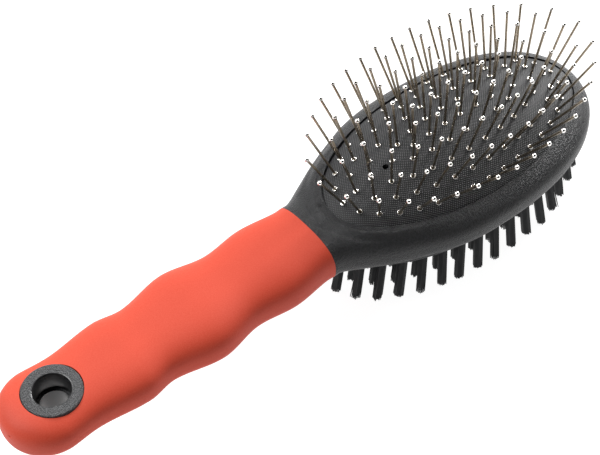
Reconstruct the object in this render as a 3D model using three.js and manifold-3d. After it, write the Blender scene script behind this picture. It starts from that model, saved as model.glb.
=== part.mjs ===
// A double-sided pet grooming brush: a soft-touch handle, an oval head, an air cushion
// with splayed ball-tipped wire pins on top, and a plate of bristle tufts underneath.
//
// Millimetres, +Z up with the wire pins pointing up and +X from the handle to the head's tip.
// The numbers below are measured from the handle's end along X and from the parting plane of
// the handle along Z. The last lines move the brush so that its origin is the centre of the
// bottom of its bounding box.

import * as THREE from 'three';
import Module from 'manifold-3d';
import { mergeVertices } from 'three/addons/utils/BufferGeometryUtils.js';

const wasm = await Module();
wasm.setup();

// ---------------------------------------------------------------- driving dimensions

const LENGTH = 229.3;           // handle end to head tip
const CLEARANCE = 0.3;         // gap kept between pieces that touch

// Handle
const SEAM_X = 114.4;          // where the soft sleeve ends and the hard head begins
const SLEEVE_POWER = 2.6;      // roundness of the sleeve's section: 2 is an ellipse
const END_BULB = { x: 14.4, halfWidth: 15.0, halfHeight: 7.3 };
const GRIP_WAVES = [           // crests and troughs of the grip: x, half width, half height
  [14.4, 15.0, 7.3], [25.0, 14.3, 7.3], [41.8, 16.1, 7.9], [51.9, 14.6, 7.8], [68.7, 17.6, 8.6],
  [83.6, 14.8, 8.2], [98.1, 16.15, 8.9], [111.5, 14.5, 8.8], [SEAM_X, 14.6, 8.8],
];
const SPINE = { startX: 7.5, halfWidth: 9, halfThickness: 4.6, eyeRadius: 11.2 };

// Eyelet at the handle's end
const EYELET = { x: 17.8, outer: 9.56, tube: 7.1, flange: 1.3, face: 7.27 };
const FRONT_BORE = 5.94;
const REAR_BORE = 4.8;         // narrower, so that the bore has a ledge half way down

// Head
const HEAD = { x: 173.0, halfWidth: 32.8, halfHeight: 8.95, tipPower: 3.7, planPower: 2.24 };
HEAD.halfLength = LENGTH - HEAD.x;
const HEAD_WIDTHS = [          // x, half width, from the seam to the widest place
  [SEAM_X, 14.6], [117.5, 14.7], [123.9, 17.9], [133.6, 22.9], [143.2, 27.0], [152.8, 30.5],
  [162.4, 32.3], [HEAD.x, HEAD.halfWidth],
];
const TOP_POWER = 2.5;         // roundness of the head's section above the parting plane
const UNDER_POWER = 3.5;       // and below it, where it is flatter

// Cushion: an oval dome of thin rubber whose edge is held under the head's lip
const PAD = { x: 175.2, halfLength: 50.2, halfWidth: 26.6, edgeZ: 5.9, rise: 9.33, power: 0.9 };
const SKIN = 1.5;              // thickness of the rubber
const LIP_Z = 4.6;             // underside of the head's lip
const LEDGE_Z = 2.8;           // ledge that the cushion's edge sits on
const EDGE_REACH = 2.2;        // how far the cushion's edge reaches under the lip
const LEDGE_INSET = 1.6;       // how far the ledge reaches in under the cushion
const CAVITY_FLOOR = -1.5;
const VENT = { x: 147.3, radius: 1.0 };

// Wire pins, in ovals around the cushion and one row along its middle
const PIN = { wire: 0.5, ball: 0.8, length: 20.1 };
const SPLAY = { along: 0.62, across: 0.9, edge: 0.8, tip: 2, neck: 1.2 };
const PIN_OVALS = [
  { name: 'outer', x: 174.9, rx: 45.3, ry: 22.7, count: 34, arcs: 6 },
  { name: 'second', x: 175.8, rx: 40.9, ry: 17.8, count: 28, arcs: 4 },
  { name: 'third', x: 175.8, rx: 34.6, ry: 12.1, count: 22, arcs: 4 },
  { name: 'inner', x: 176.3, rx: 26.2, ry: 6.25, count: 16, arcs: 2 },
];
const PIN_ROW = { name: 'middle', x: 175.8, pitch: 6.7, count: 6 };
const PIN_BASE = { depth: 2.6, width: 2.0, thickness: 1.0 };   // strip under the rubber

// Bristle plate and tufts on the underside
const PLATE = { halfLength: 52.0, halfWidth: 28.9, face: -9.3, thickness: 3.4, bevel: 0.8 };
const TUFT = { radius: 1.7, tipZ: -26.4, spreadX: 0.0045, spreadY: 0.0038 };
const TUFT_OVALS = [
  { name: 'outer', x: 174.2, rx: 49.5, ry: 26.4, count: 36, arcs: 6 },
  { name: 'second', x: 174.2, rx: 43.0, ry: 19.9, count: 30, arcs: 5 },
  { name: 'third', x: 174.2, rx: 36.5, ry: 13.3, count: 24, arcs: 4 },
  { name: 'inner', x: 174.2, rx: 29.5, ry: 6.8, count: 18, arcs: 3 },
];
const TUFT_LEAD = 0.65;         // how far round its oval the first tuft stands, in steps
const TUFT_ROW = { name: 'middle', x: 174.2, pitch: 6.9, count: 7 };
const TUFT_BASE = { width: 3.8, thickness: 1.3 };              // strip that holds a row's roots

// ---------------------------------------------------------------- materials

const material = (color, roughness, metalness = 0) =>
  new THREE.MeshStandardMaterial({ color, roughness, metalness });

const MATERIALS = {
  sleeve: material(0xe8604a, 0.75),
  plastic: material(0x2b2b2d, 0.45),
  rubber: material(0x232425, 0.8),
  steel: material(0xb9ada0, 0.25, 1),
  nylon: material(0x15161a, 0.5),
};

// ---------------------------------------------------------------- shape helpers

// Turns a closed three.js geometry into a solid that can be joined and cut.
function toSolid(geometry) {
  const bare = geometry.clone();
  bare.deleteAttribute('normal');
  bare.deleteAttribute('uv');
  const merged = mergeVertices(bare, 1e-4);
  return new wasm.Manifold(new wasm.Mesh({
    numProp: 3,
    vertProperties: new Float32Array(merged.attributes.position.array),
    triVerts: new Uint32Array(merged.index.array),
  }));
}

function toGeometry(solid) {
  const { numProp, vertProperties, triVerts } = solid.getMesh();
  const geometry = new THREE.BufferGeometry();
  const points = new THREE.InterleavedBuffer(vertProperties, numProp);
  const position = new Float32Array(points.count * 3);
  for (let i = 0; i < points.count; i++) {
    position.set(vertProperties.subarray(i * numProp, i * numProp + 3), i * 3);
  }
  geometry.setAttribute('position', new THREE.BufferAttribute(position, 3));
  geometry.setIndex(new THREE.BufferAttribute(new Uint32Array(triVerts), 1));
  geometry.computeVertexNormals();
  return geometry;
}

const joinAll = (solids) => solids.reduce((all, solid) => all.add(solid));

// A closed skin through rings of points that all have the same count and run the same way.
function loft(rings) {
  const sides = rings[0].length;
  const position = rings.flat().flatMap((point) => [point.x, point.y, point.z]);
  const index = [];
  for (let r = 0; r + 1 < rings.length; r++) {
    for (let s = 0; s < sides; s++) {
      const a = r * sides + s;
      const b = r * sides + (s + 1) % sides;
      index.push(a, b, b + sides, a, b + sides, a + sides);
    }
  }
  const last = (rings.length - 1) * sides;
  for (let s = 1; s + 1 < sides; s++) {
    index.push(0, s + 1, s);
    index.push(last, last + s, last + s + 1);
  }
  const geometry = new THREE.BufferGeometry();
  geometry.setAttribute('position', new THREE.Float32BufferAttribute(position, 3));
  geometry.setIndex(index);
  return geometry;
}

// A smooth curve through [x, value] points, read by its x.
function smoothValue(points, x) {
  const last = points.length - 1;
  if (x <= points[0][0]) return points[0][1];
  if (x >= points[last][0]) return points[last][1];
  const i = points.findIndex((point) => point[0] > x) - 1;
  const slope = (k) => {
    const before = points[Math.max(k - 1, 0)];
    const after = points[Math.min(k + 1, last)];
    return (after[1] - before[1]) / (after[0] - before[0]);
  };
  const span = points[i + 1][0] - points[i][0];
  const t = (x - points[i][0]) / span;
  return points[i][1] * (1 + 2 * t) * (1 - t) ** 2 + points[i + 1][1] * t * t * (3 - 2 * t)
    + span * (slope(i) * t * (1 - t) ** 2 - slope(i + 1) * t * t * (1 - t));
}

const roundOff = (u, power) => (1 - Math.min(Math.abs(u), 1) ** power) ** (1 / power);

// One ring of a rounded section across X; the upper and lower halves may be rounded differently.
function section(x, halfWidth, halfHeight, sides, upperPower, lowerPower = upperPower) {
  const ring = [];
  for (let s = 0; s < sides; s++) {
    const angle = (s / sides) * 2 * Math.PI;
    const power = Math.sin(angle) >= 0 ? upperPower : lowerPower;
    const y = halfWidth * Math.sign(Math.cos(angle)) * Math.abs(Math.cos(angle)) ** (2 / power);
    const z = halfHeight * Math.sign(Math.sin(angle)) * Math.abs(Math.sin(angle)) ** (2 / power);
    ring.push(new THREE.Vector3(x, y, z));
  }
  return ring;
}

// An upright oval column, for cutting and for flat oval parts.
function ovalColumn(x, halfLength, halfWidth, lowZ, highZ, bevel = 0, segments = 14) {
  const shape = new THREE.Shape();
  shape.absellipse(0, 0, halfLength - bevel, halfWidth - bevel, 0, 2 * Math.PI);
  const geometry = new THREE.ExtrudeGeometry(shape, {
    depth: highZ - lowZ - 2 * bevel,
    curveSegments: segments * 2,
    bevelEnabled: bevel > 0,
    bevelThickness: bevel,
    bevelSize: bevel,
    bevelSegments: 1,
  });
  geometry.translate(x, 0, lowZ + bevel);
  return toSolid(geometry);
}

// Points at equal steps along an oval, the first one `lead` steps on from its +X end.
function ovalPoints({ x, rx, ry, count }, lead = 0) {
  const fine = 1440;
  const at = (i) => {
    const angle = (i / fine) * 2 * Math.PI;
    return new THREE.Vector2(x + rx * Math.cos(angle), ry * Math.sin(angle));
  };
  const reach = [0];
  for (let i = 1; i <= fine; i++) reach.push(reach[i - 1] + at(i).distanceTo(at(i - 1)));
  const points = [];
  for (let n = 0; n < count; n++) {
    const wanted = ((n + lead) / count) * reach[fine];
    const i = Math.max(1, reach.findIndex((length) => length >= wanted));
    const t = (wanted - reach[i - 1]) / (reach[i] - reach[i - 1]);
    points.push(at(i - 1).lerp(at(i), t));
  }
  return points;
}

function rowPoints({ x, pitch, count }) {
  return Array.from({ length: count },
    (_, n) => new THREE.Vector2(x + (n - (count - 1) / 2) * pitch, 0));
}

// Shares a list out into arcs of nearly equal size.
function shareOut(points, arcs) {
  return Array.from({ length: arcs }, (_, k) => points.slice(
    Math.round((k * points.length) / arcs), Math.round(((k + 1) * points.length) / arcs)));
}

// A flat strip along a line of stations. Each station has a centre point and an up direction.
function strip(stations, width, thickness, overhang) {
  const centres = stations.map((station) => station.centre.clone());
  const last = centres.length - 1;
  const tangent = (i) => stations[Math.min(i + 1, last)].centre.clone()
    .sub(stations[Math.max(i - 1, 0)].centre).normalize();
  centres[0].addScaledVector(tangent(0), -overhang);
  centres[last].addScaledVector(tangent(last), overhang);
  const rings = centres.map((centre, i) => {
    const up = stations[i].up.clone().multiplyScalar(thickness / 2);
    const side = stations[i].up.clone().cross(tangent(i)).normalize().multiplyScalar(width / 2);
    return [[1, -1], [1, 1], [-1, 1], [-1, -1]].map(([s, u]) =>
      centre.clone().addScaledVector(side, s).addScaledVector(up, u));
  });
  return toSolid(loft(rings));
}

// A round bar given by [radius, height] steps, stood on a point and turned to a direction.
function turnedBar(profile, sides, foot, direction) {
  const geometry = new THREE.LatheGeometry(
    profile.map(([radius, height]) => new THREE.Vector2(radius, height)), sides);
  const turn = new THREE.Quaternion()
    .setFromUnitVectors(new THREE.Vector3(0, 1, 0), direction);
  geometry.applyQuaternion(turn);
  geometry.translate(foot.x, foot.y, foot.z);
  return toSolid(geometry);
}

// ---------------------------------------------------------------- handle

const sleeveHalfWidth = (x) => (x < END_BULB.x
  ? END_BULB.halfWidth * roundOff(1 - x / END_BULB.x, 2)
  : smoothValue(GRIP_WAVES.map(([at, width]) => [at, width]), x));

const sleeveHalfHeight = (x) => (x < END_BULB.x
  ? END_BULB.halfHeight * roundOff(1 - x / END_BULB.x, 3.2)
  : smoothValue(GRIP_WAVES.map(([at, , height]) => [at, height]), x));

// The bar inside the sleeve, with a round eye for the eyelet, grown all over by `extra`.
function spine(extra, endX) {
  const shape = new THREE.Shape();
  const halfWidth = SPINE.halfWidth + extra;
  const radius = SPINE.eyeRadius + extra;
  const meet = Math.asin(halfWidth / radius);
  shape.moveTo(endX, -halfWidth);
  shape.lineTo(endX, halfWidth);
  shape.absarc(EYELET.x, 0, radius, meet, 2 * Math.PI - meet, false);
  const halfThickness = SPINE.halfThickness + extra;
  const geometry = new THREE.ExtrudeGeometry(shape,
    { depth: 2 * halfThickness, bevelEnabled: false, curveSegments: 24 });
  geometry.translate(0, 0, -halfThickness);
  return toSolid(geometry);
}

function gripSleeve() {
  const ends = [0.15, 0.8, 2.2, 4.5, 7.5, 11];
  const waves = Array.from({ length: 18 }, (_, i) => END_BULB.x + (i / 17) * (SEAM_X - END_BULB.x));
  const rings = [...ends, ...waves].map((x) =>
    section(x, sleeveHalfWidth(x), sleeveHalfHeight(x), 20, SLEEVE_POWER));
  rings[0].forEach((point) => { point.x = 0; });
  const hole = ovalColumn(EYELET.x, EYELET.outer + CLEARANCE, EYELET.outer + CLEARANCE, -9, 9);
  return toSolid(loft(rings)).subtract(spine(CLEARANCE, SEAM_X + 1)).subtract(hole);
}

// Half of the eyelet: a flanged tube from the middle of the handle to one face.
function eyeletHalf(bore) {
  const inner = CLEARANCE / 2;
  const { tube, outer, flange, face } = EYELET;
  const profile = [
    [bore, inner], [tube, inner], [tube, face - flange], [outer, face - flange],
    [outer, face - 0.3], [outer - 0.3, face], [bore + 0.4, face], [bore, face - 0.4], [bore, inner],
  ].map(([radius, height]) => new THREE.Vector2(radius, height));
  const geometry = new THREE.LatheGeometry(profile, 26);
  geometry.rotateX(Math.PI / 2);
  geometry.translate(EYELET.x, 0, 0);
  return toSolid(geometry);
}

// ---------------------------------------------------------------- head

function headHalfWidth(x) {
  if (x <= HEAD.x) return smoothValue(HEAD_WIDTHS, x);
  return HEAD.halfWidth * roundOff((x - HEAD.x) / HEAD.halfLength, HEAD.planPower);
}

function headHalfHeight(x) {
  const seamHeight = sleeveHalfHeight(SEAM_X);
  if (x <= HEAD.x) {
    const t = Math.min((x - SEAM_X) / 20, 1);
    return seamHeight + (HEAD.halfHeight - seamHeight) * t;
  }
  return HEAD.halfHeight * roundOff((x - HEAD.x) / HEAD.halfLength, HEAD.tipPower);
}

function headShell() {
  const startX = SEAM_X + CLEARANCE;
  const toWidest = Array.from({ length: 13 }, (_, i) => startX + (i / 13) * (HEAD.x - startX));
  const toTip = Array.from({ length: 13 }, (_, i) =>
    HEAD.x + HEAD.halfLength * Math.sin((i / 12.1) * (Math.PI / 2)));
  const rings = [...toWidest, ...toTip].map((x) => {
    const blend = THREE.MathUtils.smoothstep(x, SEAM_X, SEAM_X + 20);
    const upper = THREE.MathUtils.lerp(SLEEVE_POWER, TOP_POWER, blend);
    const lower = THREE.MathUtils.lerp(SLEEVE_POWER, UNDER_POWER, blend);
    return section(x, headHalfWidth(x), headHalfHeight(x), 32, upper, lower);
  });
  rings.at(-1).forEach((point) => { point.x = LENGTH; });
  return toSolid(loft(rings));
}

function headBody() {
  const { halfLength, halfWidth } = PAD;
  const opening = ovalColumn(PAD.x, halfLength, halfWidth, LIP_Z - 1, 12);
  const groove = ovalColumn(PAD.x, halfLength + EDGE_REACH + CLEARANCE,
    halfWidth + EDGE_REACH + CLEARANCE, LEDGE_Z, LIP_Z);
  const cavity = ovalColumn(PAD.x, halfLength - LEDGE_INSET, halfWidth - LEDGE_INSET,
    CAVITY_FLOOR, LEDGE_Z + 1);
  const recess = ovalColumn(HEAD.x, PLATE.halfLength + CLEARANCE, PLATE.halfWidth + CLEARANCE,
    -12, PLATE.face + PLATE.thickness + CLEARANCE);
  const eye = ovalColumn(EYELET.x, EYELET.tube + CLEARANCE, EYELET.tube + CLEARANCE, -9, 9);
  return headShell().add(spine(0, SEAM_X + 8))
    .subtract(opening).subtract(groove).subtract(cavity).subtract(recess).subtract(eye);
}

// ---------------------------------------------------------------- cushion and pins

const domeShare = (rho) => (1 - Math.min(rho, 1) ** 2) ** PAD.power;

function domePoint(x, y) {
  const rho = Math.hypot((x - PAD.x) / PAD.halfLength, y / PAD.halfWidth);
  return new THREE.Vector3(x, y, PAD.edgeZ + PAD.rise * domeShare(rho));
}

// Pins stand nearly square to the dome at its middle and splay further out towards its edge,
// most of all at the two ends of the cushion.
function pinDirection({ x, y }) {
  const along = (x - PAD.x) / PAD.halfLength;
  const across = y / PAD.halfWidth;
  const edge = SPLAY.edge * Math.hypot(along, across) ** 4;
  const end = 1 + (along > 0 ? SPLAY.tip : SPLAY.neck) * along ** 8;
  const slope = 2 * PAD.power * PAD.rise;
  return new THREE.Vector3(slope * (SPLAY.along + edge) * end * along / PAD.halfLength,
    slope * (SPLAY.across + edge) * across / PAD.halfWidth, 1).normalize();
}

function cushionSkin(pinPoints) {
  const steps = [0, 0.36, 0.62, 0.82, 0.95];
  const dome = (offset, scale) => steps.map((rho) =>
    new THREE.Vector2(rho * scale, PAD.edgeZ + PAD.rise * domeShare(rho) + offset));
  const wall = 1 - CLEARANCE / PAD.halfWidth;
  const edge = 1 + EDGE_REACH / PAD.halfLength;
  const profile = [
    ...dome(-SKIN, 0.97),
    new THREE.Vector2(0.95, LEDGE_Z + CLEARANCE), new THREE.Vector2(edge, LEDGE_Z + CLEARANCE),
    new THREE.Vector2(edge, LIP_Z - CLEARANCE), new THREE.Vector2(wall, LIP_Z - CLEARANCE),
    new THREE.Vector2(wall, PAD.edgeZ - 0.3),
    ...dome(0, wall).reverse(),
  ];
  const geometry = new THREE.LatheGeometry(profile, 24);
  geometry.rotateX(Math.PI / 2);
  geometry.scale(PAD.halfLength, PAD.halfWidth, 1);
  geometry.translate(PAD.x, 0, 0);
  const bars = pinPoints.map((point) => {
    const direction = pinDirection(point);
    const foot = domePoint(point.x, point.y).addScaledVector(direction, -4);
    return turnedBar([[0, 0], [PIN.wire + CLEARANCE, 0], [PIN.wire + CLEARANCE, 7], [0, 7]],
      4, foot, direction);
  });
  const vent = ovalColumn(VENT.x, VENT.radius, VENT.radius, 6, 18, 0, 4);
  return toSolid(geometry).subtract(joinAll(bars)).subtract(vent);
}

// Pins that stand side by side, held by the strip under the rubber that their heads sit in.
function pinArc(points) {
  const { depth, width, thickness } = PIN_BASE;
  const stations = points.map((point) => {
    const up = pinDirection(point);
    const centre = domePoint(point.x, point.y).addScaledVector(up, -depth - thickness / 2);
    return { centre, up };
  });
  const tall = PIN.length + depth + thickness / 2;
  const profile = [[0, 0], [PIN.wire, 0], [PIN.wire, tall - PIN.ball * 0.85], [PIN.ball, tall],
    [0, tall + PIN.ball]];
  const pins = stations.map(({ centre, up }) => turnedBar(profile, 5, centre, up));
  return joinAll([strip(stations, width, thickness, width / 2), ...pins]);
}

// ---------------------------------------------------------------- bristles

const TUFT_ROOT_Z = PLATE.face + TUFT_BASE.thickness / 2 + 0.1;

function tuftStations(points) {
  return points.map(({ x, y }) => ({
    centre: new THREE.Vector3(x, y, TUFT_ROOT_Z),
    up: new THREE.Vector3(0, 0, 1),
  }));
}

function tuftArc(points) {
  const tufts = points.map(({ x, y }) => {
    const lean = new THREE.Vector3(TUFT.spreadX * (x - TUFT_ROW.x), TUFT.spreadY * y, -1);
    const drop = TUFT_ROOT_Z - TUFT.tipZ;
    const ring = (z, at) => Array.from({ length: 6 }, (_, s) => {
      const angle = (-s / 6) * 2 * Math.PI;
      return new THREE.Vector3(x + lean.x * at + TUFT.radius * Math.cos(angle),
        y + lean.y * at + TUFT.radius * Math.sin(angle), z);
    });
    return toSolid(loft([ring(TUFT_ROOT_Z, 0), ring(TUFT.tipZ, drop)]));
  });
  const base = strip(tuftStations(points), TUFT_BASE.width, TUFT_BASE.thickness, 2);
  return joinAll([base, ...tufts]);
}

function bristlePlate(arcs) {
  const { halfLength, halfWidth, face, thickness, bevel } = PLATE;
  const panel = ovalColumn(HEAD.x, halfLength, halfWidth, face, face + thickness, bevel);
  const slotTop = TUFT_ROOT_Z + TUFT_BASE.thickness / 2 + CLEARANCE;
  const down = new THREE.Vector3(0, 0, -1);
  const room = TUFT.radius + CLEARANCE;
  const slots = arcs.map((points) => {
    const stations = tuftStations(points);
    stations.forEach(({ centre }) => { centre.z -= 1; });
    const slot = strip(stations, TUFT_BASE.width + 2 * CLEARANCE,
      2 * (slotTop - TUFT_ROOT_Z + 1), 2 + CLEARANCE);
    const sockets = points.map(({ x, y }) => turnedBar([[0, 0], [room, 0], [room, 4], [0, 4]],
      6, new THREE.Vector3(x, y, slotTop), down));
    return joinAll([slot, ...sockets]);
  });
  return panel.subtract(joinAll(slots));
}

// ---------------------------------------------------------------- the brush

const pinArcs = PIN_OVALS.flatMap((oval) => shareOut(ovalPoints(oval), oval.arcs)
  .map((points, k) => ({ name: `pins_${oval.name}_${k + 1}`, points })));
pinArcs.push({ name: 'pins_middle_row', points: rowPoints(PIN_ROW) });

const tuftArcs = TUFT_OVALS.flatMap((oval) => shareOut(ovalPoints(oval, TUFT_LEAD), oval.arcs)
  .map((points, k) => ({ name: `tufts_${oval.name}_${k + 1}`, points })));
tuftArcs.push({ name: 'tufts_middle_row', points: rowPoints(TUFT_ROW) });

const brush = new THREE.Group();

function addPiece(name, solid, pieceMaterial, rotationX = 0) {
  const mesh = new THREE.Mesh(toGeometry(solid), pieceMaterial);
  mesh.name = name;
  mesh.rotation.x = rotationX;
  brush.add(mesh);
}

addPiece('head_body', headBody(), MATERIALS.plastic);
addPiece('grip_sleeve', gripSleeve(), MATERIALS.sleeve);
addPiece('eyelet_front', eyeletHalf(FRONT_BORE), MATERIALS.plastic);
addPiece('eyelet_rear', eyeletHalf(REAR_BORE), MATERIALS.plastic, Math.PI);
addPiece('cushion_skin', cushionSkin(pinArcs.flatMap((arc) => arc.points)), MATERIALS.rubber);
pinArcs.forEach(({ name, points }) => addPiece(name, pinArc(points), MATERIALS.steel));
addPiece('bristle_plate', bristlePlate(tuftArcs.map((arc) => arc.points)), MATERIALS.plastic);
tuftArcs.forEach(({ name, points }) => addPiece(name, tuftArc(points), MATERIALS.nylon));

const box = new THREE.Box3().setFromObject(brush);
brush.position.set(-(box.min.x + box.max.x) / 2, 0, -box.min.z);

export default brush;
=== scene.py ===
"""The looks of a double-sided pet grooming brush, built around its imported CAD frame.

Lengths in this file are millimetres until place() or MM turns them into metres, apart from
those of the materials, the lights and the floor, which are metres. Places on the brush are
measured as in the CAD source: X from the handle's end, Z from the handle's parting plane.
"""
import math
import random

import bmesh
import bpy
import numpy as np
from mathutils import Matrix, Vector


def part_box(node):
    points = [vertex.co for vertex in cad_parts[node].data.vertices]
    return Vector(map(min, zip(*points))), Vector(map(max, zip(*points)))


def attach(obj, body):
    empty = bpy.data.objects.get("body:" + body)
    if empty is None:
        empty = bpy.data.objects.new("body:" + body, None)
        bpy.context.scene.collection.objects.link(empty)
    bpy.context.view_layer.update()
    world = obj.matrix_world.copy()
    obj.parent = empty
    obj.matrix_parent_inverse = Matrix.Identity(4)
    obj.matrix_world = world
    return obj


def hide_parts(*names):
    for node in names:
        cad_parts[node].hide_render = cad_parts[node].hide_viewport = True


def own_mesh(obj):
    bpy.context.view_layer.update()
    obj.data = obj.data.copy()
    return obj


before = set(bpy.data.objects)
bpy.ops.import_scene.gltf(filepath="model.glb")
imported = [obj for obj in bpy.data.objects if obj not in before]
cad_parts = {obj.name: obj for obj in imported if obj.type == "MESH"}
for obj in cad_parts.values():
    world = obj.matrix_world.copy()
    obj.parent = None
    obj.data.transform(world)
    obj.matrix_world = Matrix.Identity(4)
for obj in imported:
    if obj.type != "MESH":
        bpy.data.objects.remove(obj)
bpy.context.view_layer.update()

MM = 0.001

# ---------------------------------------------------------------- the frame's own places

HANDLE_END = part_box("grip_sleeve")[0].x
PARTING_Z = (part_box("eyelet_front")[1].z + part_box("eyelet_rear")[0].z) / 2
LENGTH = (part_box("head_body")[1].x - HANDLE_END) / MM
SEAM_X = (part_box("grip_sleeve")[1].x - HANDLE_END) / MM
TUFT_TIP_Z = (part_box("tufts_middle_row")[0].z - PARTING_Z) / MM
EYELET_FACE = (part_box("eyelet_front")[1].z - PARTING_Z) / MM
PLATE_FACE = (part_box("bristle_plate")[0].z - PARTING_Z) / MM

# ---------------------------------------------------------------- driving dimensions

SLEEVE_POWER = 2.6
BULB_X, BULB_HALF_WIDTH, BULB_HALF_HEIGHT = 14.4, 15.0, 7.3
GRIP_WAVES = [                 # x, half width, half height at each crest and trough
    (BULB_X, BULB_HALF_WIDTH, BULB_HALF_HEIGHT), (25.0, 14.3, 7.3), (41.8, 16.1, 7.9),
    (51.9, 14.6, 7.8), (68.7, 17.6, 8.6), (83.6, 14.8, 8.2), (98.1, 16.15, 8.9),
    (111.5, 14.5, 8.8), (114.4, 14.6, 8.8),
]
GATE_NICK = (0.2, -2.9, 2.5)   # the moulding scar at the very end of the grip
EYELET_X, EYELET_OUTER, EYELET_TUBE, EYELET_FLANGE = 17.8, 9.56, 7.1, 1.3
FRONT_BORE, REAR_BORE = 5.94, 4.8
FRONT_TAPER, REAR_TAPER = 0.2, 0.8     # how much each bore narrows towards the back
EYELET_FIT = 0.12              # room round the flange in the grip
EYELET_EDGE, EYELET_LIP = 0.45, 0.4    # how far the face is rounded off outside and inside
EYELET_GAP, EYELET_STEP = 0.1, 0.6     # the halves' distance from the middle, and the bore's foot

HEAD_X, HEAD_HALF_WIDTH, HEAD_HALF_HEIGHT = 173.0, 32.8, 8.95
HEAD_HALF_LENGTH = LENGTH - HEAD_X
HEAD_WIDTHS = [                # x, half width, from the seam to the widest place
    (114.4, 14.6), (117.5, 14.7), (123.9, 17.9), (133.6, 22.9), (143.2, 27.0), (152.8, 30.5),
    (162.4, 32.3), (HEAD_X, HEAD_HALF_WIDTH),
]
PLAN_POWER, TIP_POWER, TOP_POWER, UNDER_POWER = 2.24, 3.7, 2.5, 3.5
NECK_LENGTH = 20               # the sleeve's section turns into the head's over this length
HEAD_LIP_Z, HEAD_FLOOR_Z = 4.6, -1.5   # the well that the cushion sits in
NECK_BEAD = (0.6, 3.2, 1.7)    # height, distance from the cushion's edge, width
NECK_CREASE = (0.4, 6.6, 1.2)

PAD_X, PAD_HALF_LENGTH, PAD_HALF_WIDTH = 175.2, 50.2, 26.6
PAD_EDGE_Z, PAD_RISE, PAD_POWER = 5.9, 9.33, 0.9
PAD_GROOVE = 0.35              # dark gap between the rubber and the head's lip
SKIN = 1.5
SKIN_REACH = 0.965             # how far out the dome is hollow
VENT_X, VENT_RADIUS = 147.3, 1.0
CUSHION_EDGE = [               # the section held under the head's lip: distance outward, height
    (-0.6, PAD_EDGE_Z - 0.02), (-0.6, 4.3), (1.9, 4.3), (1.9, 3.1), (-2.2, 3.1),
    (-2.2, PAD_EDGE_Z - 0.02),
]

PIN_LENGTH, PIN_BALL, PIN_WIRE_RADIUS, PIN_ROOT = 20.1, 0.8, 0.43, 2.4
PIN_STRAY = 0.012              # how unevenly the pins stand
SPLAY_ALONG, SPLAY_ACROSS, SPLAY_EDGE, SPLAY_TIP, SPLAY_NECK = 0.62, 0.9, 0.8, 2.0, 1.2
SPLAY_DRIFT = -0.045           # all the pins lean a little to one side
PIN_OVALS = [                  # name, middle x, half length, half width, pins, nodes
    ("outer", 174.9, 45.3, 22.7, 34, 6), ("second", 175.8, 40.9, 17.8, 28, 4),
    ("third", 175.8, 34.6, 12.1, 22, 4), ("inner", 176.3, 26.2, 6.25, 16, 2),
]
PIN_ROW_X, PIN_ROW_PITCH, PIN_ROW_COUNT = 175.8, 6.7, 6

PLATE_HALF_LENGTH, PLATE_HALF_WIDTH, PLATE_THICKNESS = 52.0, 28.9, 3.4
PLATE_EDGE, PLATE_CLEARANCE = 0.8, 0.3
TUFT_RADIUS, TUFT_SPREAD_X, TUFT_SPREAD_Y = 1.7, 0.0045, 0.0038
FILAMENT_PITCH, FILAMENT_RADIUS, FILAMENT_SIDES = 0.37, 0.19, 5
STRAY_SHARE = 0.012            # share of the filaments that stand out of their tuft
TUFT_OVALS = [                 # name, middle x, half length, half width, tufts, nodes
    ("outer", 174.2, 49.5, 26.4, 36, 6), ("second", 174.2, 43.0, 19.9, 30, 5),
    ("third", 174.2, 36.5, 13.3, 24, 4), ("inner", 174.2, 29.5, 6.8, 18, 3),
]
TUFT_LEAD = 0.65               # how far round its oval the first tuft stands, in steps
TUFT_ROW_X, TUFT_ROW_PITCH, TUFT_ROW_COUNT = 174.2, 6.9, 7

CAMERA_AZIMUTH, CAMERA_ELEVATION, CAMERA_ROLL = -36.0, 50.22, -3.22
CAMERA_TARGET = (116.3, 5.95, 0.6)
CAMERA_DISTANCE, CAMERA_LENS = 573.7, 107.0
KEY_LIGHT = ((-0.5, 0.55, 1.0), (0.7, 0.6), 14.5)      # place in metres, size, watts
TIP_LIGHT = ((1.1, 0.35, 0.55), (0.4, 0.5), 25)
STUDIO_BRIGHTNESS, OPENING_BRIGHTNESS = 0.92, 0.02
DARK_OPENINGS = [              # direction, then cosines of its outer and inner half angles
    ((-0.376, -0.518, 0.769), 0.60, 0.74), ((0.25, -0.80, 0.50), 0.72, 0.93),
]


# ---------------------------------------------------------------- helpers

def place(points):
    """Millimetres from the handle's end and the parting plane to metres in the frame."""
    points = np.asarray(points, float) * MM
    return points + np.array([HANDLE_END, 0.0, PARTING_Z])


def smooth_value(points, x, column=1):
    """A smooth curve through the points, read by its x."""
    xs = [p[0] for p in points]
    ys = [p[column] for p in points]
    if x <= xs[0]:
        return ys[0]
    if x >= xs[-1]:
        return ys[-1]
    i = next(k for k in range(len(xs)) if xs[k] > x) - 1

    def slope(k):
        before, after = max(k - 1, 0), min(k + 1, len(xs) - 1)
        return (ys[after] - ys[before]) / (xs[after] - xs[before])

    span = xs[i + 1] - xs[i]
    t = (x - xs[i]) / span
    return (ys[i] * (1 + 2 * t) * (1 - t) ** 2 + ys[i + 1] * t * t * (3 - 2 * t)
            + span * (slope(i) * t * (1 - t) ** 2 - slope(i + 1) * t * t * (1 - t)))


def smooth_step(x, low, high):
    """0 below low, 1 above high and a smooth rise between them."""
    t = min(max((x - low) / (high - low), 0.0), 1.0)
    return t * t * (3 - 2 * t)


def round_off(u, power):
    """How much of its height a rounded section keeps at the share u of its width."""
    return (1 - min(abs(u), 1.0) ** power) ** (1 / power)


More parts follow.
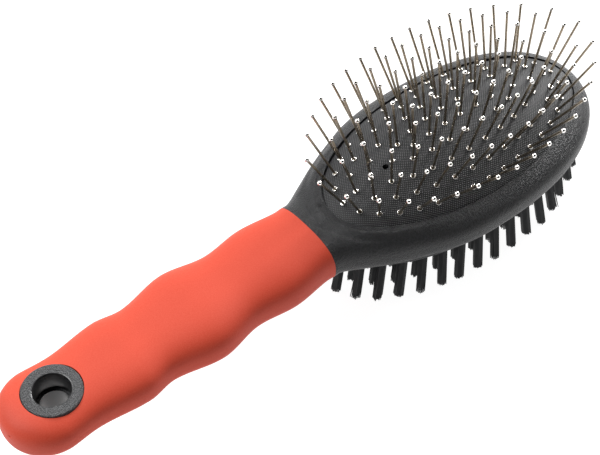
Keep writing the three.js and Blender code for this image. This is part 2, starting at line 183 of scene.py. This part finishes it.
def build(name, points, faces, materials, body, node, indexes=None):
    """A mesh piece from points in millimetres, riding on a body and standing for a CAD node."""
    mesh = bpy.data.meshes.new(name)
    mesh.from_pydata(place(points).tolist(), [], faces)
    for material in materials:
        mesh.materials.append(material)
    if indexes is not None:
        mesh.polygons.foreach_set("material_index", indexes)
    mesh.polygons.foreach_set("use_smooth", [True] * len(mesh.polygons))
    mesh.update()
    piece = bpy.data.objects.new(name, mesh)
    bpy.context.scene.collection.objects.link(piece)
    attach(piece, body)
    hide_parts(node)
    return piece


def face_outward(piece):
    """Joins doubled points and turns every face outward."""
    bm = bmesh.new()
    bm.from_mesh(piece.data)
    bmesh.ops.remove_doubles(bm, verts=bm.verts, dist=1e-6)
    bmesh.ops.recalc_face_normals(bm, faces=bm.faces)
    bm.to_mesh(piece.data)
    bm.free()


def cut(piece, cutter_points, cutter_faces):
    """Takes a closed solid out of the piece for good."""
    mesh = bpy.data.meshes.new("cutter")
    mesh.from_pydata(place(cutter_points).tolist(), [], cutter_faces)
    cutter = bpy.data.objects.new("cutter", mesh)
    bpy.context.scene.collection.objects.link(cutter)
    face_outward(cutter)
    modifier = piece.modifiers.new("cut", "BOOLEAN")
    modifier.operation = "DIFFERENCE"
    modifier.solver = "EXACT"
    modifier.object = cutter
    bpy.context.view_layer.update()
    made = bpy.data.meshes.new_from_object(
        piece.evaluated_get(bpy.context.evaluated_depsgraph_get()))
    piece.modifiers.clear()
    piece.data = made
    bpy.data.objects.remove(cutter)


def crisp_edges(piece, degrees):
    """Smooth shading that stays sharp at edges steeper than this."""
    limit = math.radians(degrees)
    bm = bmesh.new()
    bm.from_mesh(piece.data)
    for edge in bm.edges:
        edge.smooth = not (edge.is_manifold and edge.calc_face_angle(0.0) > limit)
    bm.to_mesh(piece.data)
    bm.free()


def column(x, half_length, half_width, low, high, sides=128):
    """An upright oval column."""
    angles = np.linspace(0, 2 * math.pi, sides, endpoint=False)
    rings = [[(x + half_length * math.cos(a), half_width * math.sin(a), z) for a in angles]
             for z in (low, high)]
    return grid_points(rings), grid_faces(2, sides) + end_caps(2, sides)


def grid_points(rings):
    return [point for ring in rings for point in ring]


def grid_faces(count, sides):
    """The four-sided faces between closed rings of points."""
    faces = []
    for r in range(count - 1):
        for s in range(sides):
            a, b = r * sides + s, r * sides + (s + 1) % sides
            faces.append((a, b, b + sides, a + sides))
    return faces


def end_caps(count, sides):
    last = (count - 1) * sides
    return [tuple(range(sides))[::-1], tuple(range(last, last + sides))]


def lathe(profile, sides):
    """A round shape about Z from (radius, height) steps; a closed profile makes a ring."""
    points, faces, rows = [], [], []
    for radius, height in profile:
        if radius == 0:
            rows.append([len(points)] * sides)
            points.append((0.0, 0.0, height))
            continue
        rows.append(list(range(len(points), len(points) + sides)))
        for s in range(sides):
            angle = 2 * math.pi * s / sides
            points.append((radius * math.cos(angle), radius * math.sin(angle), height))
    for low, high in zip(rows, rows[1:]):
        for s in range(sides):
            t = (s + 1) % sides
            corners = [low[s], low[t], high[t], high[s]]
            faces.append(tuple(dict.fromkeys(corners)))
    return np.array(points), faces


class Pile:
    """Collects many small shapes into one mesh."""

    def __init__(self):
        self.points, self.faces, self.indexes, self.count = [], [], [], 0

    def add(self, points, faces, index=0):
        self.points.append(np.asarray(points, float))
        self.faces += [tuple(v + self.count for v in face) for face in faces]
        self.indexes += [index] * len(faces)
        self.count += len(points)

    def all_points(self):
        return np.concatenate(self.points)


def oval_points(x, rx, ry, count, lead=0.0, fine=1440):
    """Points at equal steps along an oval, the first one `lead` steps on from its +X end."""
    angles = np.linspace(0, 2 * math.pi, fine + 1)
    line = np.stack([x + rx * np.cos(angles), ry * np.sin(angles)], axis=1)
    reach = np.concatenate([[0], np.cumsum(np.hypot(*np.diff(line, axis=0).T))])
    wanted = (np.arange(count) + lead) / count * reach[-1]
    return np.stack([np.interp(wanted, reach, line[:, k]) for k in (0, 1)], axis=1)


def share_out(points, arcs):
    """Splits the points into as many runs as the oval has nodes."""
    edges = [math.floor(k * len(points) / arcs + 0.5) for k in range(arcs + 1)]
    return [points[a:b] for a, b in zip(edges, edges[1:])]


def row_points(x, pitch, count):
    return np.array([(x + (n - (count - 1) / 2) * pitch, 0.0) for n in range(count)])


# ---------------------------------------------------------------- materials

class Nodes:
    """A short way to write a node material."""

    def __init__(self, name):
        self.material = bpy.data.materials.new(name)
        self.material.use_nodes = True
        self.tree = self.material.node_tree
        self.shader = self.tree.nodes["Principled BSDF"]
        self.place = self.add("ShaderNodeTexCoord").outputs["Object"]

    def add(self, kind, **settings):
        node = self.tree.nodes.new(kind)
        for key, value in settings.items():
            setattr(node, key, value)
        return node

    def link(self, source, target):
        self.tree.links.new(source, target)

    def noise(self, scale, detail=2.0, roughness=0.5):
        node = self.add("ShaderNodeTexNoise")
        node.inputs["Scale"].default_value = scale
        node.inputs["Detail"].default_value = detail
        node.inputs["Roughness"].default_value = roughness
        self.link(self.place, node.inputs["Vector"])
        return node.outputs["Fac"]

    def spread(self, value, low, high, to_low=0.0, to_high=1.0):
        node = self.add("ShaderNodeMapRange")
        self.link(value, node.inputs["Value"])
        for key, number in (("From Min", low), ("From Max", high), ("To Min", to_low),
                            ("To Max", to_high)):
            node.inputs[key].default_value = number
        return node.outputs["Result"]

    def math(self, operation, a, b=None):
        node = self.add("ShaderNodeMath", operation=operation)
        for socket, value in zip(node.inputs, (a, b)):
            if value is None:
                continue
            if isinstance(value, (int, float)):
                socket.default_value = value
            else:
                self.link(value, socket)
        return node.outputs[0]

    def mix(self, factor, first, second):
        node = self.add("ShaderNodeMix", data_type="RGBA")
        self.link(factor, node.inputs["Factor"])
        for key, value in (("A", first), ("B", second)):
            socket = next(s for s in node.inputs if s.name == key and s.type == "RGBA")
            if isinstance(value, tuple):
                socket.default_value = (*value, 1.0)
            else:
                self.link(value, socket)
        return next(s for s in node.outputs if s.type == "RGBA")

    def bump(self, height, distance, strength=1.0):
        node = self.add("ShaderNodeBump")
        node.inputs["Strength"].default_value = strength
        node.inputs["Distance"].default_value = distance
        self.link(height, node.inputs["Height"])
        return node.outputs["Normal"]

    def wire(self, **inputs):
        for key, value in inputs.items():
            socket = self.shader.inputs[key.replace("_", " ")]
            if isinstance(value, tuple):
                socket.default_value = (*value, 1.0)
            elif isinstance(value, (int, float)):
                socket.default_value = value
            else:
                self.link(value, socket)
        return self.material


def soft_grip_material():
    n = Nodes("soft_grip")
    cloud = n.spread(n.noise(28, 3), 0.35, 0.65)
    grain = n.noise(2600, 2, 0.6)
    speckle = n.spread(grain, 0.3, 0.7)
    colour = n.mix(cloud, (0.49, 0.049, 0.024), (0.53, 0.055, 0.027))
    colour = n.mix(n.math("MULTIPLY", speckle, 0.14), colour, (0.70, 0.17, 0.10))
    return n.wire(Base_Color=colour, Roughness=n.spread(cloud, 0, 1, 0.52, 0.6),
                  Specular_IOR_Level=0.22, Normal=n.bump(grain, 0.00005, 0.8))


def hard_plastic_material():
    n = Nodes("hard_plastic")
    cloud = n.spread(n.noise(40, 4), 0.3, 0.7)
    grain = n.spread(n.noise(1500, 4, 0.75), 0.36, 0.64)
    colour = n.mix(cloud, (0.006, 0.006, 0.007), (0.008, 0.008, 0.009))
    colour = n.mix(n.math("MULTIPLY", grain, 0.5), colour, (0.03, 0.031, 0.032))
    return n.wire(Base_Color=colour, Roughness=n.spread(cloud, 0, 1, 0.3, 0.36),
                  Specular_IOR_Level=0.26, Normal=n.bump(grain, 0.00012, 1.0))


def grained_plastic_material():
    n = Nodes("grained_plastic")
    coarse = n.noise(2200, 3, 0.65)
    grain = n.spread(coarse, 0.36, 0.64)
    colour = n.mix(grain, (0.008, 0.008, 0.009), (0.085, 0.087, 0.09))
    return n.wire(Base_Color=colour, Roughness=0.55, Specular_IOR_Level=0.5,
                  Normal=n.bump(grain, 0.00018, 1.0))


def smooth_plastic_material():
    """The smooth lip and wall of the eyelet's hole."""
    n = Nodes("smooth_plastic")
    cloud = n.spread(n.noise(300, 3), 0.3, 0.7)
    colour = n.mix(cloud, (0.014, 0.014, 0.015), (0.022, 0.022, 0.023))
    return n.wire(Base_Color=colour, Roughness=n.spread(cloud, 0, 1, 0.26, 0.34),
                  Specular_IOR_Level=0.6, Normal=n.bump(cloud, 0.00003, 0.5))


def cushion_material():
    """Rubber moulded with a fine woven face: raised dots in rows across each other, painted
    lighter on their tops as painted highlight and near black in the hollows between as painted
    shade.
    """
    n = Nodes("cushion_rubber")
    pitch = 0.00088
    axes = n.add("ShaderNodeSeparateXYZ")
    n.link(n.place, axes.inputs["Vector"])
    waves = [n.math("SINE", n.math("MULTIPLY", axes.outputs[k], 2 * math.pi / pitch))
             for k in ("X", "Y")]
    dots = n.math("MULTIPLY", *waves)
    weave = n.spread(dots, 0, 1)
    cloud = n.spread(n.noise(60, 3), 0.3, 0.7)
    # painted shade and painted highlight: the weave mask paints the hollows between the dots near
    # black and the raised dots' tops lighter
    dark = n.mix(cloud, (0.004, 0.004, 0.005), (0.007, 0.007, 0.008))
    light = n.mix(cloud, (0.095, 0.097, 0.099), (0.122, 0.124, 0.127))
    colour = n.mix(weave, dark, light)
    return n.wire(Base_Color=colour, Roughness=0.6, Specular_IOR_Level=0.4,
                  Normal=n.bump(weave, 0.00015, 1.0))


def steel_material(name, colour, roughness):
    """Drawn or polished steel, with a faint cloudiness in its polish."""
    n = Nodes(name)
    cloud = n.spread(n.noise(150, 2), 0.3, 0.7)
    tint = n.mix(cloud, colour, tuple(c * 0.93 for c in colour))
    return n.wire(Base_Color=tint, Metallic=1.0,
                  Roughness=n.spread(cloud, 0, 1, roughness, roughness * 1.25))


def nylon_material():
    n = Nodes("nylon_bristle")
    shade = n.spread(n.noise(900, 2), 0.3, 0.7)
    colour = n.mix(shade, (0.003, 0.0034, 0.0045), (0.007, 0.0077, 0.0095))
    return n.wire(Base_Color=colour, Roughness=n.spread(shade, 0, 1, 0.34, 0.44),
                  Specular_IOR_Level=0.22)


SOFT_GRIP = soft_grip_material()
HARD_PLASTIC = hard_plastic_material()
GRAINED_PLASTIC = grained_plastic_material()
SMOOTH_PLASTIC = smooth_plastic_material()
CUSHION_RUBBER = cushion_material()
PIN_WIRE = steel_material("pin_wire", (0.36, 0.31, 0.245), 0.24)
PIN_BALL_STEEL = steel_material("pin_ball", (0.9, 0.88, 0.85), 0.08)
NYLON = nylon_material()


# ---------------------------------------------------------------- handle

def sleeve_half_width(x):
    if x < BULB_X:
        return BULB_HALF_WIDTH * round_off(1 - x / BULB_X, 2)
    return smooth_value(GRIP_WAVES, x, 1)


def sleeve_half_height(x):
    if x < BULB_X:
        return BULB_HALF_HEIGHT * round_off(1 - x / BULB_X, 3.2)
    return smooth_value(GRIP_WAVES, x, 2)


def grip_section(x, sides):
    """One ring of the sleeve, its points spread evenly round the section."""
    width, height = sleeve_half_width(x), sleeve_half_height(x)
    ring = []
    for s in range(sides):
        angle = 2 * math.pi * s / sides
        across, up = math.cos(angle), math.sin(angle)
        size = (abs(across) ** SLEEVE_POWER + abs(up) ** SLEEVE_POWER) ** (-1 / SLEEVE_POWER)
        ring.append((x, width * across * size, height * up * size))
    return ring


def make_grip():
    sides, end_steps, wave_steps = 120, 28, 150
    ends = [BULB_X * (1 - math.cos(0.5 * math.pi * (k + 0.5) / end_steps))
            for k in range(end_steps)]
    waves = [BULB_X + (SEAM_X - BULB_X) * k / wave_steps for k in range(wave_steps + 1)]
    rings = [grip_section(x, sides) for x in ends + waves]
    count = len(rings)
    grip = build("grip", grid_points(rings), grid_faces(count, sides) + end_caps(count, sides),
                 [SOFT_GRIP], "brush_body", "grip_sleeve")
    face_outward(grip)
    hole = EYELET_OUTER + EYELET_FIT
    cut(grip, *column(EYELET_X, hole, hole, -9, 9))
    nick_side = [(0.5 * math.cos(a), 0.5 * math.sin(a)) for a in np.linspace(-1.2, 1.2, 7)]
    nick, faces = lathe([(0.0, -0.5)] + nick_side + [(0.0, 0.5)], 12)
    cut(grip, nick * (1, 1.6, 1) + GATE_NICK, faces)
    crisp_edges(grip, 35)


def make_eyelet(name, side, bore, node):
    """One flanged half of the eyelet, its bore narrowing a little towards the back."""
    face, edge, lip, sides = EYELET_FACE, EYELET_EDGE, EYELET_LIP, 128
    mid_bore, face_bore = (bore - FRONT_TAPER, bore) if side > 0 else (bore, bore - REAR_TAPER)
    profile = [(mid_bore, EYELET_GAP), (EYELET_TUBE, EYELET_GAP),
               (EYELET_TUBE, face - EYELET_FLANGE), (EYELET_OUTER, face - EYELET_FLANGE),
               (EYELET_OUTER, face - edge)]
    profile += [(EYELET_OUTER - edge * (1 - math.cos(a)), face - edge * (1 - math.sin(a)))
                for a in np.linspace(0.3, math.pi / 2, 5)]
    profile += [(EYELET_OUTER - 1.4, face), (face_bore + 1.2, face)]
    lip_round = [(face_bore + lip * (1 - math.sin(a)), face - lip * (1 - math.cos(a)))
                 for a in np.linspace(0, math.pi / 2, 6)]
    smooth_part = lip_round[1:] + [(mid_bore, EYELET_STEP), (mid_bore, EYELET_GAP)]
    points, faces = lathe(profile + lip_round[:1] + smooth_part, sides)
    smooth_count = len(smooth_part) * sides
    finish = [0] * (len(faces) - smooth_count) + [1] * smooth_count
    points[:, 2] *= side
    points[:, 0] += EYELET_X
    eyelet = build(name, points, faces, [GRAINED_PLASTIC, SMOOTH_PLASTIC], "brush_body",
                   node, indexes=finish)
    face_outward(eyelet)
    crisp_edges(eyelet, 40)


# ---------------------------------------------------------------- head

def head_half_width(x):
    if x <= HEAD_X:
        return smooth_value(HEAD_WIDTHS, x)
    return HEAD_HALF_WIDTH * round_off((x - HEAD_X) / HEAD_HALF_LENGTH, PLAN_POWER)


def head_half_height(x):
    if x <= HEAD_X:
        seam = sleeve_half_height(SEAM_X)
        return seam + (HEAD_HALF_HEIGHT - seam) * min((x - SEAM_X) / NECK_LENGTH, 1)
    return HEAD_HALF_HEIGHT * round_off((x - HEAD_X) / HEAD_HALF_LENGTH, TIP_POWER)


def head_height(x, y, side):
    """Height of the head's skin above (side 1) or below (side -1) the parting plane."""
    blend = smooth_step(x, SEAM_X, SEAM_X + NECK_LENGTH)
    power = SLEEVE_POWER + ((TOP_POWER if side > 0 else UNDER_POWER) - SLEEVE_POWER) * blend
    width = max(head_half_width(x), 1e-6)
    return side * head_half_height(x) * round_off(y / width, power)


def head_edge(direction):
    """Where a line from the cushion's centre leaves the head's outline."""
    low, high = 0.0, 90.0
    for _ in range(44):
        middle = (low + high) / 2
        x, y = PAD_X + direction[0] * middle, direction[1] * middle
        inside = SEAM_X <= x <= LENGTH and abs(y) <= head_half_width(x)
        low, high = (middle, high) if inside else (low, middle)
    return low


def head_skin(angles, opening_x, half_length, half_width, side):
    """Rings from an oval opening out to the head's outline, on its top or its underside."""
    steps = 90
    rings = []
    for k in range(steps + 1):
        t = 0.5 - 0.5 * math.cos(math.pi * k / steps)
        ring = []
        for a in angles:
            start = np.array([opening_x + half_length * math.cos(a), half_width * math.sin(a)])
            way = np.array([PAD_HALF_LENGTH * math.cos(a), PAD_HALF_WIDTH * math.sin(a)])
            way /= np.hypot(*way)
            end = np.array([PAD_X, 0.0]) + way * head_edge(way)
            x, y = start + (end - start) * t
            z = head_height(x, y, side)
            ring.append((x, y, neck_rim(x, y, z) if side > 0 else z))
        rings.append(ring)
    return rings


def make_head():
    """One closed skin: the cushion's well, the top, the underside and the plate's seat."""
    corner = math.atan2(head_half_width(SEAM_X) / PAD_HALF_WIDTH,
                        (PAD_X - SEAM_X) / PAD_HALF_LENGTH)
    angles = sorted([*np.linspace(0, 2 * math.pi, 420, endpoint=False),
                     math.pi - corner, math.pi + corner])
    sides = len(angles)
    top = head_skin(angles, PAD_X, PAD_HALF_LENGTH, PAD_HALF_WIDTH, 1)
    under = head_skin(angles, HEAD_X, PLATE_HALF_LENGTH + PLATE_CLEARANCE,
                      PLATE_HALF_WIDTH + PLATE_CLEARANCE, -1)
    roof = PLATE_FACE + PLATE_THICKNESS + PLATE_CLEARANCE
    well = [[(x, y, z) for x, y, _ in top[0]] for z in (HEAD_FLOOR_Z, HEAD_LIP_Z)]
    plate_seat = [[(x, y, roof) for x, y, _ in under[0]]]
    rings = well + top + under[::-1] + plate_seat
    head = build("head_and_neck", grid_points(rings),
                 grid_faces(len(rings), sides) + end_caps(len(rings), sides),
                 [HARD_PLASTIC], "brush_body", "head_body")
    face_outward(head)
    crisp_edges(head, 32)


def neck_rim(x, y, z):
    """The neck dips to the cushion's edge, with a low bead there and a crease outside it."""
    reach = math.hypot((x - PAD_X) / PAD_HALF_LENGTH, y / PAD_HALF_WIDTH)
    outside = (reach - 1) * PAD_HALF_LENGTH
    strength = smooth_step(PAD_X - x, 22, 46)
    dip = (z - PAD_EDGE_Z - 0.7) * (1 - smooth_step(outside, -1, 10))
    bead, crease = (height * math.exp(-((outside - away) / width) ** 2)
                    for height, away, width in (NECK_BEAD, NECK_CREASE))
    return z + strength * (bead - crease - dip)


# ---------------------------------------------------------------- cushion and pins

def dome_height(x, y):
    rho = min(math.hypot((x - PAD_X) / PAD_HALF_LENGTH, y / PAD_HALF_WIDTH), 1)
    return PAD_EDGE_Z + PAD_RISE * (1 - rho * rho) ** PAD_POWER


def dome_ring(reach, drop, sides):
    """One ring of the dome, a share of the way out to its edge, which has an uneven gap."""
    z = PAD_EDGE_Z + PAD_RISE * (1 - reach * reach) ** PAD_POWER - drop
    ring = []
    for a in np.linspace(0, 2 * math.pi, sides, endpoint=False):
        wide = smooth_step(math.sin(a) + 0.5 * math.cos(a), -0.3, 0.25)
        gap = 0.1 + wide * (PAD_GROOVE + 0.1 * math.sin(9 * a) + 0.07 * math.sin(23 * a + 1))
        ring.append((PAD_X + (PAD_HALF_LENGTH - gap) * reach * math.cos(a),
                     (PAD_HALF_WIDTH - gap) * reach * math.sin(a), z))
    return ring


def make_cushion_dome():
    """The rubber dome that the pins stand in; on the real brush it sinks when they are pressed.
    """
    sides, steps = 200, 56
    shares = [math.sin(0.5 * math.pi * (k + 0.3) / (steps + 0.3)) for k in range(steps + 1)]
    outside = [dome_ring(share, 0, sides) for share in shares]
    inside = [dome_ring(share, SKIN, sides) for share in shares if share < SKIN_REACH]
    rim = [(x, y, PAD_EDGE_Z) for x, y, _ in dome_ring(SKIN_REACH, 0, sides)]
    rings = inside + [rim] + outside[::-1]
    dome = build("cushion_dome", grid_points(rings),
                 grid_faces(len(rings), sides) + end_caps(len(rings), sides),
                 [CUSHION_RUBBER], "brush_body", "cushion_skin")
    face_outward(dome)
    cut(dome, *column(VENT_X, VENT_RADIUS, VENT_RADIUS, 4, 20, 32))
    crisp_edges(dome, 50)
    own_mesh(dome)


def make_cushion_edge():
    """The rubber's edge, which stays held under the head's lip."""
    sides = 200
    angles = np.linspace(0, 2 * math.pi, sides, endpoint=False)
    rings = [[(PAD_X + (PAD_HALF_LENGTH + d) * math.cos(a), (PAD_HALF_WIDTH + d) * math.sin(a), z)
              for a in angles] for d, z in CUSHION_EDGE + CUSHION_EDGE[:1]]
    edge = build("cushion_edge", grid_points(rings), grid_faces(len(rings), sides),
                 [CUSHION_RUBBER], "brush_body", "cushion_skin")
    face_outward(edge)
    crisp_edges(edge, 40)


def pin_direction(x, y):
    """Nearly square to the dome at its middle, splayed out more towards its edge and ends."""
    along, across = (x - PAD_X) / PAD_HALF_LENGTH, y / PAD_HALF_WIDTH
    edge = SPLAY_EDGE * math.hypot(along, across) ** 4
    end = 1 + (SPLAY_TIP if along > 0 else SPLAY_NECK) * along ** 8
    slope = 2 * PAD_POWER * PAD_RISE
    return np.array([slope * (SPLAY_ALONG + edge) * end * along / PAD_HALF_LENGTH,
                     slope * (SPLAY_ACROSS + edge) * across / PAD_HALF_WIDTH + SPLAY_DRIFT, 1.0])


def aim(direction):
    """The turn that stands a shape's +Z along a direction."""
    turn = Vector((0, 0, 1)).rotation_difference(Vector(direction))
    return np.array(turn.to_matrix())


def wire_shape():
    radius, ball_foot = PIN_WIRE_RADIUS, PIN_LENGTH - PIN_BALL
    return lathe([(0, -PIN_ROOT), (radius, -PIN_ROOT), (radius, 6), (radius, 13),
                  (radius, ball_foot), (0.36, ball_foot + 0.35)], 14)


def ball_shape():
    profile = [(0.34, PIN_LENGTH - PIN_BALL * 0.9)]
    profile += [(PIN_BALL * math.sin(a), PIN_LENGTH - PIN_BALL * math.cos(a))
                for a in np.linspace(0.5, math.pi - 0.25, 10)]
    profile += [(0.0, PIN_LENGTH + PIN_BALL)]
    return lathe(profile, 20)


def collar_shape():
    """The cup round the foot of a pin."""
    middle, height, thick = 0.72, 0.3, 0.22
    lip = [(middle + thick * math.cos(a), height + thick * math.sin(a))
           for a in np.linspace(-0.5, math.pi + 0.3, 10)]
    return lathe([(0.66, -0.5), (0.86, 0.0)] + lip + [(0.48, -0.1), (0.3, -0.2)], 20)


WIRE, BALL, COLLAR = wire_shape(), ball_shape(), collar_shape()


def make_pins(name, points, body, node, rng):
    pile = Pile()
    for x, y in points:
        foot = np.array([x, y, dome_height(x, y)])
        stray = np.array([rng.uniform(-1, 1) * PIN_STRAY, rng.uniform(-1, 1) * PIN_STRAY, 0])
        turn = aim(pin_direction(x, y) + stray)
        for (shape, faces), index in ((WIRE, 0), (BALL, 1), (COLLAR, 1)):
            pile.add(shape @ turn.T + foot, faces, index)
    pins = build(name, pile.all_points(), pile.faces, [PIN_WIRE, PIN_BALL_STEEL], body,
                 node, indexes=pile.indexes)
    crisp_edges(pins, 50)


def make_all_pins():
    rng = random.Random(5)
    for name, x, rx, ry, count, arcs in PIN_OVALS:
        for k, points in enumerate(share_out(oval_points(x, rx, ry, count), arcs)):
            make_pins(f"wire_pins_{name}_{k + 1}", points, f"pins_{name}",
                      f"pins_{name}_{k + 1}", rng)
    make_pins("wire_pins_middle", row_points(PIN_ROW_X, PIN_ROW_PITCH, PIN_ROW_COUNT),
              "pins_middle", "pins_middle_row", rng)


# ---------------------------------------------------------------- bristles

def make_plate():
    sides, edge = 200, PLATE_EDGE
    roof = PLATE_FACE + PLATE_THICKNESS
    steps = [(-edge * (1 - math.cos(a)), PLATE_FACE + edge * (1 - math.sin(a)))
             for a in np.linspace(math.pi / 2, 0, 7)]
    outline = [(-edge - 6, PLATE_FACE)] + steps + [(0, roof)]
    angles = np.linspace(0, 2 * math.pi, sides, endpoint=False)
    rings = [[(HEAD_X + (PLATE_HALF_LENGTH + d) * math.cos(a),
               (PLATE_HALF_WIDTH + d) * math.sin(a), z) for a in angles] for d, z in outline]
    plate = build("tufted_plate", grid_points(rings),
                  grid_faces(len(rings), sides) + end_caps(len(rings), sides),
                  [HARD_PLASTIC], "brush_body", "bristle_plate")
    face_outward(plate)
    crisp_edges(plate, 40)


def filament_places(radius, pitch):
    """A close hexagonal packing of filaments in a round hole."""
    places = []
    rows = int(radius / pitch * 1.2) + 1
    for i in range(-rows, rows + 1):
        for j in range(-rows, rows + 1):
            u, v = (i + 0.5 * (j % 2)) * pitch, j * pitch * math.sqrt(0.75)
            if math.hypot(u, v) <= radius - pitch * 0.45:
                places.append((u, v))
    return places


FILAMENTS = filament_places(TUFT_RADIUS, FILAMENT_PITCH)


def filament_rings(root, lean, offset, fan, tip_z):
    """One filament's sections, from its root in the plate to its cut end."""
    turns = [2 * math.pi * s / FILAMENT_SIDES for s in range(FILAMENT_SIDES)]
    root_z = PLATE_FACE + 0.6
    drop = root_z - tip_z
    rings = []
    for share in (0.0, 0.45, 0.8, 1.0):
        grow = 1.0 + fan * share * share
        x, y = (root[k] + lean[k] * drop * share + offset[k] * grow for k in (0, 1))
        radius = FILAMENT_RADIUS * (1 if share < 1 else 0.8)
        rings.append([(x + radius * math.cos(a), y + radius * math.sin(a), root_z - drop * share)
                      for a in turns])
    return rings


def make_tufts(name, points, node, rng):
    """Bundles of nylon filaments with uneven ends."""
    pile = Pile()
    for x, y in points:
        lean = (TUFT_SPREAD_X * (x - TUFT_ROW_X) + rng.gauss(0, 0.012),
                TUFT_SPREAD_Y * y + rng.gauss(0, 0.012))
        spin = rng.uniform(0, math.pi)
        short = rng.uniform(0, 0.7)
        slope = (rng.gauss(0, 0.2), rng.gauss(0, 0.2))
        for u, v in FILAMENTS:
            a = u * math.cos(spin) - v * math.sin(spin)
            b = u * math.sin(spin) + v * math.cos(spin)
            stray = rng.random() < STRAY_SHARE
            fan = rng.uniform(0.25, 0.5) if stray else rng.uniform(0.0, 0.07)
            trim = short + abs(rng.gauss(0, 0.42)) + slope[0] * a + slope[1] * b
            rings = filament_rings((x, y), lean, (a, b), fan, TUFT_TIP_Z + max(trim, 0.02))
            pile.add(grid_points(rings), grid_faces(len(rings), FILAMENT_SIDES)
                     + end_caps(len(rings), FILAMENT_SIDES))
    tufts = build(name, pile.all_points(), pile.faces, [NYLON], "brush_body",
                  node)
    crisp_edges(tufts, 60)


def make_all_tufts():
    rng = random.Random(11)
    for name, x, rx, ry, count, arcs in TUFT_OVALS:
        for k, points in enumerate(share_out(oval_points(x, rx, ry, count, TUFT_LEAD), arcs)):
            make_tufts(f"bristles_{name}_{k + 1}", points, f"tufts_{name}_{k + 1}", rng)
    make_tufts("bristles_middle", row_points(TUFT_ROW_X, TUFT_ROW_PITCH, TUFT_ROW_COUNT),
               "tufts_middle_row", rng)


# ---------------------------------------------------------------- studio

def make_camera():
    azimuth, elevation = math.radians(CAMERA_AZIMUTH), math.radians(CAMERA_ELEVATION)
    back = Vector((math.sin(azimuth) * math.cos(elevation),
                   -math.cos(azimuth) * math.cos(elevation), math.sin(elevation)))
    right = Vector((math.cos(azimuth), math.sin(azimuth), 0))
    up = back.cross(right)
    turn = Matrix((right, up, back)).transposed().to_4x4()
    camera = bpy.data.objects.new("camera", bpy.data.cameras.new("camera"))
    camera.data.lens = CAMERA_LENS
    camera.data.sensor_width = 36.0
    camera.data.clip_start = 0.01
    at = Vector(place(CAMERA_TARGET)) + back * CAMERA_DISTANCE * MM
    camera.matrix_world = (Matrix.Translation(at) @ turn
                           @ Matrix.Rotation(math.radians(CAMERA_ROLL), 4, "Z"))
    bpy.context.scene.collection.objects.link(camera)
    bpy.context.scene.camera = camera


def make_floor():
    n = Nodes("studio_floor")
    mottle = n.noise(6, 2)
    colour = n.mix(mottle, (0.25, 0.25, 0.25), (0.27, 0.27, 0.27))
    n.wire(Base_Color=colour, Roughness=0.9, Emission_Color=(1, 1, 1), Emission_Strength=0.97)
    mesh = bpy.data.meshes.new("floor")
    size, height = 3.0, -0.0002
    mesh.from_pydata([(-size, -size, height), (size, -size, height), (size, size, height),
                      (-size, size, height)], [], [(0, 1, 2, 3)])
    mesh.materials.append(n.material)
    floor = bpy.data.objects.new("floor", mesh)
    bpy.context.scene.collection.objects.link(floor)


def area_light(name, at, size, power):
    light = bpy.data.lights.new(name, "AREA")
    light.shape = "RECTANGLE"
    light.size, light.size_y = size
    light.energy = power
    holder = bpy.data.objects.new(name, light)
    holder.location = at
    holder.rotation_euler = (-Vector(at)).to_track_quat("-Z", "Y").to_euler()
    bpy.context.scene.collection.objects.link(holder)


def make_world():
    """A white studio with two dark openings: behind the viewer and low on the near side."""
    world = bpy.data.worlds.new("studio")
    bpy.context.scene.world = world
    world.use_nodes = True
    tree = world.node_tree
    way = tree.nodes.new("ShaderNodeTexCoord").outputs["Generated"]
    background = tree.nodes["Background"]
    background.inputs["Color"].default_value = (1, 1, 1, 1)
    light = None
    for direction, outer, inner in DARK_OPENINGS:
        dot = tree.nodes.new("ShaderNodeVectorMath")
        dot.operation = "DOT_PRODUCT"
        dot.inputs[1].default_value = Vector(direction).normalized()
        tree.links.new(way, dot.inputs[0])
        fade = tree.nodes.new("ShaderNodeMapRange")
        for key, number in (("From Min", outer), ("From Max", inner),
                            ("To Min", STUDIO_BRIGHTNESS), ("To Max", OPENING_BRIGHTNESS)):
            fade.inputs[key].default_value = number
        tree.links.new(dot.outputs["Value"], fade.inputs["Value"])
        if light is None:
            light = fade.outputs["Result"]
            continue
        both = tree.nodes.new("ShaderNodeMath")
        both.operation = "MULTIPLY"
        tree.links.new(light, both.inputs[0])
        tree.links.new(fade.outputs["Result"], both.inputs[1])
        light = both.outputs[0]
    tree.links.new(light, background.inputs["Strength"])


def make_lights():
    area_light("key", *KEY_LIGHT)
    area_light("tip_light", *TIP_LIGHT)
    make_world()
    bpy.context.scene.view_settings.view_transform = "Standard"


make_camera()
make_floor()
make_lights()
make_grip()
make_eyelet("hanging_eyelet_front", 1, FRONT_BORE, "eyelet_front")
make_eyelet("hanging_eyelet_rear", -1, REAR_BORE, "eyelet_rear")
make_head()
make_cushion_dome()
make_cushion_edge()
make_all_pins()
make_plate()
make_all_tufts()
